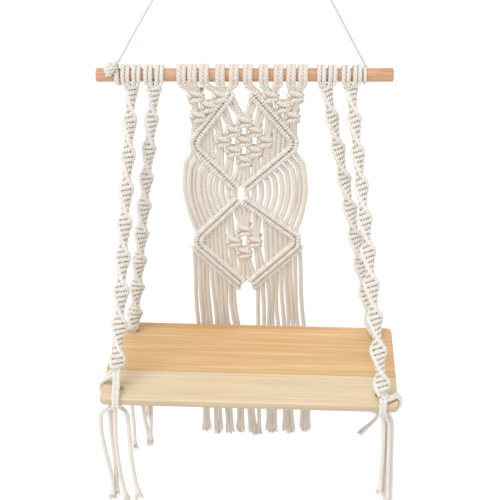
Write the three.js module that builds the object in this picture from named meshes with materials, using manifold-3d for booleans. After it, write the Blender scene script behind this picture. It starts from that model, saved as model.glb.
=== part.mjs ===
// A macrame wall shelf: a pine board slung from a round wooden rod by four spiral sinnets of cotton cord,
// with a knotted panel and its long fringe hanging behind the board. Millimetres, +Z up, the front faces -Y.
// The origin is the hanging point, under the bend of the hanger cord.

import * as THREE from 'three';
import Module from 'manifold-3d';
import { mergeVertices } from 'three/addons/utils/BufferGeometryUtils.js';

const wasm = await Module();
wasm.setup();

// Clearance between pieces that touch
const GAP = 0.3;

// Cotton cord
const CORD = 5.6;
const CORD_SIDES = 4;
// How far the corners of a few-sided cord stand out, which gives it about the round one's area
const CORD_FULLNESS = 1.08;

// Hanger: a thinner cord from the hanging point to both ends of the rod
const HANGER = { cord: 3.6, drop: 304, leftX: -168.5, rightX: 160.5, bend: 4, sides: 5 };
// The knot that ties its left end: half widths along its path over the rod's upper front
const HANGER_KNOT = { halfWidths: [3, 5.4, 6.2, 5.2, 6, 5.2, 3], flatness: 0.75 };

// Rod
const ROD = { length: 394, diameter: 18, bevel: 1, sides: 24 };

// Lark's head: two turns of cord side by side around the rod
const HEAD = { width: 12.4, thickness: 4.9, groove: 1.6, segments: 10 };

// Board, with drop measured from the rod's axis to the board's top
const BOARD = {
  length: 400, depth: 193, thickness: 10.5, corner: 8, bevel: 1.25,
  drop: 384, x: 9, y: -108.5, turn: THREE.MathUtils.degToRad(-2.6),
};
const HOLE = { fromEnd: 25, fromEdge: 25, diameter: 10.6, sides: 12 };

// Straps: rodX is the middle of the two lark's heads, headShift the half distance between them,
// firstBulge and pitch are where the sinnet turns its broad side to the front, foot is the corner it goes to
const SINNET = {
  widthTop: 9.2, widthFoot: 11.2, halfThickness: 4.6, ridge: 0.9, stepsPerBulge: 5, sides: 6, top: 19,
};
const STRAPS = [
  {
    name: 'strap_front_left', rodX: -150.5, headShift: 7.3, firstBulge: 44, pitch: 45.6,
    side: -1, foot: 'front', split: 30, overEnd: 32,
  },
  {
    name: 'strap_back_left', rodX: -120.2, headShift: 7.4, firstBulge: 45, pitch: 42.4,
    side: -1, foot: 'back',
  },
  {
    name: 'strap_back_right', rodX: 108.9, headShift: 7.4, firstBulge: 42, pitch: 44.5,
    side: 1, foot: 'back',
  },
  {
    name: 'strap_front_right', rodX: 141.4, headShift: 7.6, firstBulge: 44, pitch: 44,
    side: 1, foot: 'front', split: 13, overEnd: 21,
  },
];

// Two cords of a strap side by side, where they leave the rod or pass over an edge of the board
const EDGE_PAIR = { halfWidth: 5.4, halfThickness: 2.7 };
// Where such a pair starts on a lark's head and where it enters the sinnet's top
const HEAD_EXIT = { inward: 1.5, y: -10, z: -7 };
const SINNET_ENTRY = { outward: 2, below: 6 };

// Where a front strap's cords pass over the board's front edge, measured from its end
const FRONT_PASS = 22.5;

// Knots tied under the board, with their fullness from top to bottom. A front one lies nearer to the board's
// end than its strap by outward, and behind the front face by behind.
const UNDER_KNOT = {
  outward: 4, behind: 11, halfWidth: 8.6, halfThickness: 7, height: 13, sides: 6,
  fullness: [0.62, 1, 0.84, 1, 0.6],
};

// Panel. Heads gives the middle of each lark's head along the rod.
const PANEL_HEADS = [-83.5, -69.3, -53.9, -32.5, -14.3, 4, 25.2, 44.7, 61.4, 77.1];
const PANEL = {
  pairs: 10, pitch: 14.4, middle: -1,
  topPitch: 16.6, topShift: 2.5, narrowFrom: 40, narrowTo: 80,
  planeTop: -6, planeFrom: 30, planeTo: 110, plane: 1,
};
// Where a pair leaves its lark's head, and the cords' first fall below the rod
const PAIR_EXIT = { y: -11, drop: 6 };
const PAIR_FALL = { y: -9.5, drop: 15, drawnIn: 0.97 };
const PAIR = { halfWidth: 5.6, halfThickness: 2.7, furrow: 1.5 };
const SQUARE_KNOT = {
  halfWidth: 9.8, halfThickness: 4.6, height: 12, waist: 0.9, shoulder: 0.7, pairSpacing: 9.7,
};
const BAR = { halfWidth: 6.4, halfThickness: 4.2, ridge: 0.8, ridges: 6, inset: 5, overlap: 6, overrun: 4 };

// The two diamonds of half hitch bars: drops of their corners below the rod's axis. The upper bars of the
// first start apart by twice topGap, around a drop-shaped opening.
const DIAMONDS = [
  { top: 23, side: 98, bottom: 167, topX: -4, topGap: 6, leftX: -68, rightX: 66, bottomX: -6 },
  { top: 185, side: 249, bottom: 319, topX: -6, topGap: 0, leftX: -66, rightX: 72, bottomX: 2 },
];
// Rows of square knots inside the diamonds: knots is the number side by side
const KNOT_ROWS = [
  { drop: 65, knots: 1 },
  { drop: 80, knots: 2 },
  { drop: 95, knots: 3 },
  { drop: 110, knots: 2 },
  { drop: 125, knots: 1 },
  { drop: 233, knots: 1 },
  { drop: 251, knots: 2 },
  { drop: 269, knots: 1 },
];
// Square knots in the outer corners above the first diamond: pairs counted from the panel's edge
const CORNER_KNOTS = [
  { drop: 27, firstPair: 0 },
  { drop: 27, firstPair: 2 },
  { drop: 42, firstPair: 1 },
  { drop: 57, firstPair: 0 },
];
// How far the outermost cords swing out beside the waist between the diamonds, and the shares of their way
// from bar to bar with the share of the swing there
const SWAG = 19;
const SWAG_STATIONS = [{ way: 0.16, swing: 0.85 }, { way: 0.48, swing: 1 }, { way: 0.8, swing: 0.6 }];

// Fringe: cord ends hanging from a last row of half hitches. Its tips reach from tipsFrom to tipsTo, across
// the board, at a mean drop below the rod's axis.
const FRINGE = {
  cords: 20, rowRadius: 3, rowEnd: 3, parting: 0.4, sides: 4, steps: 6, ripple: 1.5,
  tipsFrom: -63.4, tipsTo: 101.4, tipSpacing: 5.7, tipDrop: 579,
};
// Locks along the cut lower edge: the cords in each, how far below the mean it reaches, and how much shorter
// its outer cords are for each place from its middle
const LOCKS = [
  { cords: 2, drop: 0, slope: 1 },
  { cords: 2, drop: 5, slope: 1 },
  { cords: 2, drop: 4, slope: 1 },
  { cords: 2, drop: 2, slope: 1 },
  { cords: 3, drop: 8, slope: 2 },
  { cords: 3, drop: 4, slope: 2 },
  { cords: 3, drop: 5, slope: 2 },
  { cords: 3, drop: 2, slope: 2 },
];

// Free ends under each knot, which start inside it and lie in two layers. Root is where a cord leaves the
// knot, from the knot's middle. At gives its places along the board at TAIL_HEIGHTS, from the strap's foot.
// Fall is the tip's drop below the board's top, and the heights are shares of it.
const TAIL_ROOT_DEPTH = 3;
const TAIL_STAGGER = 2.6;
const TAIL_CORD = 5.2;
const TAIL_STEPS = 7;
const TAIL_HEIGHTS = [0.16, 0.38, 0.62, 0.85, 1];
const TAILS = {
  tails_front_left: [
    { root: -5, at: [-24, -24, -19, -12.5, -14], fall: 170 },
    { root: -2, at: [-11, -11.5, -8.5, -8, -9], fall: 168 },
    { root: 1, at: [-3, -5, -3.5, 0, 4.5], fall: 174 },
    { root: 4, at: [12, 13.3, 14, 17.5, 21.5], fall: 172 },
  ],
  tails_front_right: [
    { root: -4, at: [4, 5.5, 6, 5.6, 5], fall: 148 },
    { root: -1, at: [8.2, 10, 11, 13.5, 14.5], fall: 186 },
    { root: 2, at: [12, 13.5, 15, 16.5, 17.5], fall: 190 },
    { root: 5, at: [15.5, 17.5, 19, 20.5, 21.5], fall: 182 },
  ],
  tails_back_left: [
    { root: -5, at: [-8, -9, -8.5, -6.2, -7.5], fall: 203 },
    { root: -2, at: [1, 4, 6.5, 10.5, 15.5], fall: 196 },
    { root: 2, at: [5, 9, 12.5, 14.5, 15], fall: 142 },
    { root: 5, at: [11, 20, 21.5, 19, 16.3], fall: 200 },
  ],
  tails_back_right: [
    { root: -5, at: [-8, -8, -7, -5, -3], fall: 118 },
    { root: -2, at: [2, 10, 14, 12, -10], fall: 171 },
    { root: 2, at: [8, 9, 8, 5, 3], fall: 124 },
    { root: 5, at: [12, 16, 17, 12, 9], fall: 112 },
  ],
};

// Finishes
const COTTON = { color: 0xede5d6, roughness: 0.95, metalness: 0 };
const PINE = { color: 0xe6c793, roughness: 0.6, metalness: 0 };
const PEELED_WOOD = { color: 0xdfb286, roughness: 0.55, metalness: 0 };

const up = new THREE.Vector3(0, 0, 1);
const forward = new THREE.Vector3(0, 1, 0);

function vector(x, y, z) {
  return new THREE.Vector3(x, y, z);
}

// A closed body through rings of points, each ring anticlockwise as seen from the next one
function loft(rings) {
  const sides = rings[0].length;
  const last = (rings.length - 1) * sides;
  const index = [];
  for (let i = 0; i + 1 < rings.length; i += 1) {
    for (let j = 0; j < sides; j += 1) {
      const a = i * sides + j;
      const b = i * sides + (j + 1) % sides;
      index.push(a, b, b + sides, a, b + sides, a + sides);
    }
  }
  for (let j = 1; j + 1 < sides; j += 1) {
    index.push(0, j + 1, j, last, last + j, last + j + 1);
  }
  const geometry = new THREE.BufferGeometry().setFromPoints(rings.flat());
  geometry.setIndex(index);
  return geometry;
}

// An oval of the given number of sides, turned by a share of one side
function oval(halfWidth, halfThickness, sides, offset = 0) {
  return Array.from({ length: sides }, (_, j) => {
    const angle = (j + offset) / sides * Math.PI * 2;
    return new THREE.Vector2(halfWidth * Math.cos(angle), halfThickness * Math.sin(angle));
  });
}

// A rectangle given by its half width and half thickness
function oblong(halfWidth, halfThickness) {
  return [
    new THREE.Vector2(halfWidth, -halfThickness),
    new THREE.Vector2(halfWidth, halfThickness),
    new THREE.Vector2(-halfWidth, halfThickness),
    new THREE.Vector2(-halfWidth, -halfThickness),
  ];
}

// Axes of a section whose depth stays as near front to back as the route allows
function facingFront(along) {
  const depth = forward.clone().addScaledVector(along, -forward.dot(along)).normalize();
  return { width: depth.clone().cross(along), depth };
}

// Axes of a section whose width stays along a given direction, for a route that wraps around an edge
function lyingAlong(direction) {
  return (along) => {
    const width = direction.clone().addScaledVector(along, -direction.dot(along)).normalize();
    return { width, depth: along.clone().cross(width) };
  };
}

// A body along points. sectionAt gives the outline for each step, turnAt how far it is turned there,
// and axesAt the directions of its width and depth.
function sweep(points, sectionAt, { turnAt = () => 0, axesAt = facingFront } = {}) {
  const rings = points.map((point, i) => {
    const before = points[Math.max(i - 1, 0)];
    const after = points[Math.min(i + 1, points.length - 1)];
    const { width, depth } = axesAt(after.clone().sub(before).normalize());
    const turn = turnAt(i);
    return sectionAt(i).map((p) => point.clone()
      .addScaledVector(width, p.x * Math.cos(turn) - p.y * Math.sin(turn))
      .addScaledVector(depth, p.x * Math.sin(turn) + p.y * Math.cos(turn)));
  });
  return loft(rings);
}

// A plain cord through points
function cordThrough(points, diameter = CORD, sides = CORD_SIDES) {
  const radius = diameter / 2 * CORD_FULLNESS;
  const outline = oval(radius, radius, sides);
  return sweep(points, () => outline);
}

function smooth(points, steps) {
  return new THREE.CatmullRomCurve3(points, false, 'centripetal').getPoints(steps);
}

function solidOf(geometry) {
  const bare = geometry.clone();
  bare.deleteAttribute('normal');
  bare.deleteAttribute('uv');
  const merged = mergeVertices(bare, 1e-4);
  return new wasm.Manifold(new wasm.Mesh({
    numProp: 3,
    vertProperties: new Float32Array(merged.attributes.position.array),
    triVerts: new Uint32Array(merged.index.array),
  }));
}

function fuse(geometries) {
  return geometries.map(solidOf).reduce((whole, piece) => whole.add(piece));
}

function meshOf(name, solid, finish) {
  const { numProp, vertProperties, triVerts } = solid.getMesh();
  const geometry = new THREE.BufferGeometry();
  const positions = new Float32Array(vertProperties.length / numProp * 3);
  for (let i = 0; i < positions.length / 3; i += 1) {
    positions.set(vertProperties.subarray(i * numProp, i * numProp + 3), i * 3);
  }
  geometry.setAttribute('position', new THREE.BufferAttribute(positions, 3));
  geometry.setIndex(new THREE.BufferAttribute(new Uint32Array(triVerts), 1));
  geometry.computeVertexNormals();
  const mesh = new THREE.Mesh(geometry, new THREE.MeshStandardMaterial(finish));
  mesh.name = name;
  return mesh;
}

// Rod and board

function rod() {
  const radius = ROD.diameter / 2;
  const half = ROD.length / 2;
  const profile = [
    new THREE.Vector2(0, -half),
    new THREE.Vector2(radius - ROD.bevel, -half),
    new THREE.Vector2(radius, -half + ROD.bevel),
    new THREE.Vector2(radius, half - ROD.bevel),
    new THREE.Vector2(radius - ROD.bevel, half),
    new THREE.Vector2(0, half),
  ];
  const turned = new THREE.LatheGeometry(profile, ROD.sides).rotateZ(-Math.PI / 2);
  return meshOf('rod', solidOf(turned), PEELED_WOOD);
}

function roundedOutline(length, depth, radius) {
  const x = length / 2;
  const y = depth / 2;
  const shape = new THREE.Shape();
  shape.moveTo(-x + radius, -y);
  shape.lineTo(x - radius, -y);
  shape.absarc(x - radius, -y + radius, radius, -Math.PI / 2, 0, false);
  shape.lineTo(x, y - radius);
  shape.absarc(x - radius, y - radius, radius, 0, Math.PI / 2, false);
  shape.lineTo(-x + radius, y);
  shape.absarc(-x + radius, y - radius, radius, Math.PI / 2, Math.PI, false);
  shape.lineTo(-x, -y + radius);
  shape.absarc(-x + radius, -y + radius, radius, Math.PI, Math.PI * 1.5, false);
  return shape;
}

function holeCentre(side, edge) {
  return {
    x: side * (BOARD.length / 2 - HOLE.fromEnd),
    y: edge * (BOARD.depth / 2 - HOLE.fromEdge),
  };
}

function board() {
  const { bevel } = BOARD;
  const outline = roundedOutline(BOARD.length - bevel * 2, BOARD.depth - bevel * 2, BOARD.corner - bevel);
  const slab = new THREE.ExtrudeGeometry(outline, {
    depth: BOARD.thickness - bevel * 2,
    bevelEnabled: true,
    bevelThickness: bevel,
    bevelSize: bevel,
    bevelSegments: 1,
    curveSegments: 3,
  }).translate(0, 0, bevel - BOARD.thickness);
  const radius = HOLE.diameter / 2;
  let solid = solidOf(slab);
  for (const side of [-1, 1]) {
    for (const edge of [-1, 1]) {
      const centre = holeCentre(side, edge);
      const bore = new THREE.CylinderGeometry(radius, radius, BOARD.thickness * 3, HOLE.sides)
        .rotateX(Math.PI / 2)
        .translate(centre.x, centre.y, 0);
      solid = solid.subtract(solidOf(bore));
    }
  }
  const mesh = meshOf('board', solid, PINE);
  mesh.position.set(BOARD.x, BOARD.y, -BOARD.drop);
  mesh.rotation.z = BOARD.turn;
  return mesh;
}

// A point given in the board's own length, depth and height over its top
function onBoard(x, y, z) {
  return vector(x, y, z).applyAxisAngle(up, BOARD.turn).add(vector(BOARD.x, BOARD.y, -BOARD.drop));
}

// Lark's heads

function headAt(x, width = HEAD.width) {
  const inner = (ROD.diameter / 2 + GAP) / Math.cos(Math.PI / HEAD.segments);
  const outer = inner + HEAD.thickness;
  const profile = [
    new THREE.Vector2(inner, -width / 2),
    new THREE.Vector2(inner, width / 2),
    new THREE.Vector2(outer, width / 4),
    new THREE.Vector2(outer - HEAD.groove, 0),
    new THREE.Vector2(outer, -width / 4),
    new THREE.Vector2(inner, -width / 2),
  ].reverse();
  return new THREE.LatheGeometry(profile, HEAD.segments).rotateZ(-Math.PI / 2).translate(x, 0, 0);
}

// Hanger

function hanger() {
  const wrapRadius = ROD.diameter / 2 + GAP + HANGER.cord / 2;
  const top = HANGER.drop + HANGER.cord / 2;
  const { bend, leftX, rightX } = HANGER;
  const cord = cordThrough([
    vector(leftX, 0, wrapRadius),
    vector(-bend, 0, top - bend * 1.4),
    vector(-bend / 3, 0, top),
    vector(bend / 3, 0, top),
    vector(bend, 0, top - bend * 1.4),
    vector(rightX, 0, wrapRadius),
  ], HANGER.cord, HANGER.sides);
  const turns = [leftX, rightX].map((x) => headAt(x, HANGER.cord * 2));
  const knotPath = smooth([
    vector(leftX - 14, -13.5, 2),
    vector(leftX - 9, -12.5, 9.5),
    vector(leftX - 3, -8, 15.5),
    vector(leftX + 2, -1, 16),
  ], HANGER_KNOT.halfWidths.length - 1);
  const { halfWidths, flatness } = HANGER_KNOT;
  const knot = sweep(knotPath, (i) => oval(halfWidths[i], halfWidths[i] * flatness, HANGER.sides));
  return meshOf('hanger_cord', fuse([cord, ...turns, knot]), COTTON);
}

// Straps

function strapTop(strap) {
  return vector(strap.rodX, -8, -SINNET.top);
}

// The lowest point of the sinnet, over the board's front edge or over its hole
function strapFoot(strap) {
  if (strap.foot === 'back') {
    const hole = holeCentre(strap.side, 1);
    return onBoard(hole.x, hole.y, 3);
  }
  const end = BOARD.length / 2 - FRONT_PASS;
  return onBoard(strap.side * end, -BOARD.depth / 2 + strap.split * 0.75, strap.split);
}

function sinnet(strap) {
  const top = strapTop(strap);
  const foot = strapFoot(strap);
  const length = top.distanceTo(foot);
  const step = strap.pitch / SINNET.stepsPerBulge;
  const count = Math.round(length / step);
  const points = [];
  for (let i = 0; i <= count; i += 1) {
    points.push(top.clone().lerp(foot, i / count));
  }
  const distance = (i) => length * i / count;
  const section = (i) => {
    const ridge = i % 2 ? SINNET.ridge / 2 : -SINNET.ridge / 2;
    const halfWidth = THREE.MathUtils.lerp(SINNET.widthTop, SINNET.widthFoot, i / count);
    const taper = i === 0 || i === count ? 0.7 : 1;
    return oval((halfWidth + ridge) * taper, (SINNET.halfThickness + ridge) * taper, SINNET.sides);
  };
  const turn = (i) => (strap.firstBulge - distance(i)) / strap.pitch * Math.PI;
  return sweep(points, section, { turnAt: turn });
}

function strapCordsAtRod(strap) {
  const top = strapTop(strap);
  return [-1, 1].map((side) => {
    const x = strap.rodX + side * strap.headShift;
    const from = vector(x - side * HEAD_EXIT.inward, HEAD_EXIT.y, HEAD_EXIT.z);
    const to = top.clone().add(vector(side * SINNET_ENTRY.outward, 0, -SINNET_ENTRY.below));
    const between = from.clone().lerp(to, 0.5).add(vector(side, 0, 0));
    return sweep([from, between, to], () => oval(EDGE_PAIR.halfWidth, EDGE_PAIR.halfThickness, SINNET.sides));
  });
}

function knotUnder(strap) {
  if (strap.foot === 'back') {
    const hole = holeCentre(strap.side, 1);
    return { x: hole.x, y: hole.y };
  }
  return {
    x: strap.side * (BOARD.length / 2 - FRONT_PASS + UNDER_KNOT.outward),
    y: -BOARD.depth / 2 + UNDER_KNOT.behind,
  };
}

function strapFeet(strap) {
  const foot = strapFoot(strap);
  if (strap.foot === 'back') {
    const hole = holeCentre(strap.side, 1);
    const radius = (HOLE.diameter / 2 - GAP) * Math.cos(Math.PI / HOLE.sides) - 0.1;
    const stem = [foot, onBoard(hole.x, hole.y, 0), onBoard(hole.x, hole.y, -BOARD.thickness - GAP)];
    return [sweep(stem, () => oval(radius, radius, 8))];
  }
  const knot = knotUnder(strap);
  const { side } = strap;
  const skin = EDGE_PAIR.halfThickness + GAP * 2;
  const under = -BOARD.thickness - skin;
  const front = -BOARD.depth / 2;
  const end = side * BOARD.length / 2;
  const pass = end - side * FRONT_PASS;
  const overEndAt = front + strap.overEnd;
  const outline = oval(EDGE_PAIR.halfWidth, EDGE_PAIR.halfThickness, SINNET.sides);
  const overFront = [
    foot,
    onBoard(pass, front - 1.5, skin + 1.5),
    onBoard(pass, front - skin, -1),
    onBoard(pass, front - skin, 1 - BOARD.thickness),
    onBoard(pass, front - 1, under),
    onBoard(pass, knot.y - UNDER_KNOT.halfThickness - GAP * 2, under),
  ];
  const overEnd = [
    foot,
    onBoard(end - side * 1.5, overEndAt, skin + 1.5),
    onBoard(end + side * skin, overEndAt, -1),
    onBoard(end + side * skin, overEndAt, 1 - BOARD.thickness),
    onBoard(end - side, overEndAt - 1.5, under),
    onBoard(knot.x + side * (UNDER_KNOT.halfWidth + GAP * 6), knot.y + 5, under),
  ];
  const alongBoard = vector(1, 0, 0).applyAxisAngle(up, BOARD.turn);
  const acrossBoard = vector(0, 1, 0).applyAxisAngle(up, BOARD.turn);
  return [
    sweep(overFront, () => outline, { axesAt: lyingAlong(alongBoard) }),
    sweep(overEnd, () => outline, { axesAt: lyingAlong(acrossBoard) }),
  ];
}

function strapMesh(strap) {
  const heads = [-1, 1].map((side) => headAt(strap.rodX + side * strap.headShift));
  const pieces = [sinnet(strap), ...heads, ...strapCordsAtRod(strap), ...strapFeet(strap)];
  return meshOf(strap.name, fuse(pieces), COTTON);
}

// Free ends under the board

function tailsMesh(strap) {
  const name = strap.name.replace('strap', 'tails');
  const knot = knotUnder(strap);
  const topHeight = -BOARD.thickness - GAP * 2;
  const { fullness, halfWidth, halfThickness, height, sides } = UNDER_KNOT;
  const layer = height / (fullness.length - 1);
  const knotPoints = fullness.map((_, i) => onBoard(knot.x, knot.y, topHeight - layer * i));
  const lump = sweep(knotPoints, (i) => oval(halfWidth * fullness[i], halfThickness * fullness[i], sides));
  const rootHeight = topHeight - height + TAIL_ROOT_DEPTH;
  const middle = strap.foot === 'back' ? knot.x : strap.side * (BOARD.length / 2 - FRONT_PASS);
  const ends = TAILS[name].map((tail, i) => {
    const depth = knot.y + (i % 2 ? TAIL_STAGGER : -TAIL_STAGGER);
    const heights = TAIL_HEIGHTS.map((share, k) => onBoard(middle + tail.at[k], depth, -tail.fall * share));
    const root = onBoard(knot.x + tail.root, depth, rootHeight);
    return cordThrough(smooth([root, ...heights], TAIL_STEPS), TAIL_CORD);
  });
  return meshOf(name, fuse([lump, ...ends]), COTTON);
}

// Panel

// Depth of the panel's plane at a drop below the rod's axis: from the rod's front back to the wall side
function panelDepth(drop) {
  const share = THREE.MathUtils.smoothstep(drop, PANEL.planeFrom, PANEL.planeTo);
  return THREE.MathUtils.lerp(PANEL.planeTop, PANEL.plane, share);
}

function onPanel(x, drop) {
  return vector(x, panelDepth(drop), -drop);
}

// The corners of a diamond that a bar joins: part 0 is its upper half and part 1 its lower half
function barEnds(diamond, side, part) {
  const sideX = side < 0 ? diamond.leftX : diamond.rightX;
  const sideDrop = diamond.side + (part ? BAR.halfWidth : -BAR.halfWidth);
  const apart = side * (part ? BAR.inset : BAR.inset + diamond.topGap);
  const middleX = (part ? diamond.bottomX : diamond.topX) + apart;
  const middleDrop = part ? diamond.bottom : diamond.top;
  return { middle: onPanel(middleX, middleDrop), outer: onPanel(sideX, sideDrop) };
}

// Where a cord crosses a bar: rank counts the cords of one side from the middle of the panel
function crossing(diamond, side, part, rank) {
  const { middle, outer } = barEnds(diamond, side, part);
  return middle.lerp(outer, (rank + 0.5) / (PANEL.pairs / 2));
}

function barBody(diamond, side, part) {
  const { middle, outer } = barEnds(diamond, side, part);
  const count = BAR.ridges * 2;
  const along = outer.clone().sub(middle).normalize();
  const meetsOther = part === 1 || diamond.topGap === 0;
  middle.addScaledVector(along, meetsOther ? -BAR.overlap : 0);
  outer.addScaledVector(along, BAR.overrun);
  const points = [];
  for (let i = 0; i <= count; i += 1) {
    points.push(middle.clone().lerp(outer, i / count));
  }
  return sweep(points, (i) => {
    const ridge = i % 2 ? BAR.ridge : 0;
    const taper = i === 0 || i === count ? 0.7 : 1;
    return oblong((BAR.halfWidth + ridge) * taper, (BAR.halfThickness + ridge) * taper);
  });
}

function squareKnot(centre) {
  const { halfWidth, halfThickness, height, waist, shoulder } = SQUARE_KNOT;
  const fullness = [shoulder, 1, waist, 1, shoulder];
  const layer = height / (fullness.length - 1);
  const points = fullness.map((_, i) => centre.clone().add(vector(0, 0, height / 2 - layer * i)));
  return sweep(points, (i) => oblong(halfWidth * Math.max(fullness[i], waist), halfThickness * fullness[i]));
}

function pairX(pair, pitch = PANEL.pitch) {
  return PANEL.middle + (pair - (PANEL.pairs - 1) / 2) * pitch;
}

// The panel is a little wider at the rod than in its diamonds
function knotX({ first, drop }) {
  const share = THREE.MathUtils.smoothstep(drop, PANEL.narrowFrom, PANEL.narrowTo);
  const pitch = THREE.MathUtils.lerp(PANEL.topPitch, PANEL.pitch, share);
  return pairX(first + 0.5, pitch) + THREE.MathUtils.lerp(PANEL.topShift, 0, share);
}

// Every square knot of the panel: the first of its two pairs, its drop and its middle
function panelKnots() {
  const knots = [];
  for (const row of CORNER_KNOTS) {
    const mirrored = PANEL.pairs - 2 - row.firstPair;
    knots.push({ first: row.firstPair, drop: row.drop }, { first: mirrored, drop: row.drop });
  }
  for (const row of KNOT_ROWS) {
    for (let i = 0; i < row.knots; i += 1) {
      knots.push({ first: PANEL.pairs / 2 - row.knots + 2 * i, drop: row.drop });
    }
  }
  return knots.map((knot) => ({ ...knot, x: knotX(knot) }));
}

// The route of one pair of cords from the rod to the last bar, through every knot and bar that holds it
function panelRoute(pair, knots) {
  const side = pair < PANEL.pairs / 2 ? -1 : 1;
  const rank = side < 0 ? PANEL.pairs / 2 - 1 - pair : pair - PANEL.pairs / 2;
  const headX = PANEL_HEADS[pair];
  const [upper, lower] = DIAMONDS;
  const knotted = knots.filter((knot) => pair === knot.first || pair === knot.first + 1).map((knot) => {
    const place = pair - knot.first - 0.5;
    return onPanel(knot.x + place * SQUARE_KNOT.pairSpacing, knot.drop);
  });
  const swing = vector(side * SWAG * (rank / (PANEL.pairs / 2 - 1)) ** 0.9, 0, 0);
  const swingFrom = crossing(upper, side, 1, rank);
  const swingTo = crossing(lower, side, 0, rank);
  const stations = [
    vector(headX, PAIR_EXIT.y, -PAIR_EXIT.drop),
    vector(headX * PAIR_FALL.drawnIn, PAIR_FALL.y, -PAIR_FALL.drop),
    ...knotted,
    crossing(upper, side, 0, rank),
    swingFrom,
    ...SWAG_STATIONS.map((at) => swingFrom.clone().lerp(swingTo, at.way).addScaledVector(swing, at.swing)),
    swingTo,
    crossing(lower, side, 1, rank),
  ].sort((a, b) => b.z - a.z);
  return stations.filter((p, i) => i === 0 || stations[i - 1].z - p.z > 2.5);
}

// Two cords side by side, with the furrow between them on the front
function pairOutline() {
  const { halfWidth, halfThickness, furrow } = PAIR;
  return [
    new THREE.Vector2(halfWidth, halfThickness),
    new THREE.Vector2(-halfWidth, halfThickness),
    new THREE.Vector2(-halfWidth * 0.8, -halfThickness),
    new THREE.Vector2(0, furrow - halfThickness),
    new THREE.Vector2(halfWidth * 0.8, -halfThickness),
  ];
}

function panel() {
  const knots = panelKnots();
  const outline = pairOutline();
  const pieces = PANEL_HEADS.map((x) => headAt(x));
  for (let pair = 0; pair < PANEL.pairs; pair += 1) {
    pieces.push(sweep(panelRoute(pair, knots), () => outline));
  }
  for (const knot of knots) {
    pieces.push(squareKnot(onPanel(knot.x, knot.drop)));
  }
  for (const diamond of DIAMONDS) {
    for (const side of [-1, 1]) {
      pieces.push(barBody(diamond, side, 0), barBody(diamond, side, 1));
    }
  }
  return meshOf('panel', fuse(pieces), COTTON);
}

// Fringe

// One more row of half hitches, parted from the panel's last bars and running along under them
function fringeRow(side) {
  const { middle, outer } = barEnds(DIAMONDS[1], side, 1);
  const along = outer.clone().sub(middle).normalize();
  const down = vector(side * along.z, 0, -Math.abs(along.x));
  const away = BAR.halfWidth + BAR.ridge + FRINGE.parting + FRINGE.rowRadius;
  middle.addScaledVector(down, away);
  outer.addScaledVector(down, away).addScaledVector(along, FRINGE.rowEnd);
  const back = (middle.x - DIAMONDS[1].bottomX) / along.x;
  return { from: middle.addScaledVector(along, -back), to: outer };
}

// The tip of a cord: the locks spread evenly along the lower edge, with the cords of a lock side by side
function tipOf(cord) {
  const spacing = (FRINGE.tipsTo - FRINGE.tipsFrom) / (FRINGE.cords - 1);
  let first = 0;
  for (const lock of LOCKS) {
    if (cord < first + lock.cords) {
      const middle = first + (lock.cords - 1) / 2;
      const place = cord - middle;
      return {
        x: FRINGE.tipsFrom + middle * spacing + place * FRINGE.tipSpacing,
        drop: FRINGE.tipDrop + lock.drop - Math.abs(place) * lock.slope,
      };
    }
    first += lock.cords;
  }
  throw new Error('more cords than locks hold');
}

function fringe() {
  const strips = [-1, 1].map((side) => fringeRow(side));
  const lowest = Math.min(...strips.map(({ from }) => from.z));
  strips.forEach(({ from }) => from.setZ(lowest));
  const outline = oval(FRINGE.rowRadius, FRINGE.rowRadius, 6);
  const pieces = strips.map(({ from, to }) => sweep([from, from.clone().lerp(to, 0.5), to], () => outline));
  for (let cord = 0; cord < FRINGE.cords; cord += 1) {
    const side = cord < FRINGE.cords / 2 ? -1 : 1;
    const rank = side < 0 ? FRINGE.cords / 2 - 1 - cord : cord - FRINGE.cords / 2;
    const strip = strips[side < 0 ? 0 : 1];
    const root = strip.from.clone().lerp(strip.to, (rank + 0.5) / (FRINGE.cords / 2));
    const tip = tipOf(cord);
    const ripple = Math.sin(cord * 1.7) * FRINGE.ripple;
    const end = vector(tip.x, PANEL.plane, -tip.drop);
    const points = [];
    for (let i = 0; i <= FRINGE.steps; i += 1) {
      const share = i / FRINGE.steps;
      const ease = THREE.MathUtils.smoothstep(share, 0, 1);
      points.push(vector(
        THREE.MathUtils.lerp(root.x, end.x, ease) + Math.sin(share * Math.PI * 2) * ripple,
        THREE.MathUtils.lerp(root.y, end.y, share),
        THREE.MathUtils.lerp(root.z, end.z, share),
      ));
    }
    pieces.push(cordThrough(points, CORD, FRINGE.sides));
  }
  return meshOf('panel_fringe', fuse(pieces), COTTON);
}

// Everything that hangs is placed from the rod's axis
const hung = new THREE.Group();
hung.position.z = -HANGER.drop;
hung.add(rod(), board(), hanger(), panel(), fringe());
for (const strap of STRAPS) {
  hung.add(strapMesh(strap), tailsMesh(strap));
}

const shelf = new THREE.Group();
shelf.add(hung);

export default shelf;
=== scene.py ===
"""A macrame wall shelf in cotton cord, pine and peeled wood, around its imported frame.

Metres, +Z up, front -Y. Routes of cord are worked out in millimetres from the hanging point, as the shelf is
drawn, and turned into metres when a piece is made.
"""

import math
import random

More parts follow.
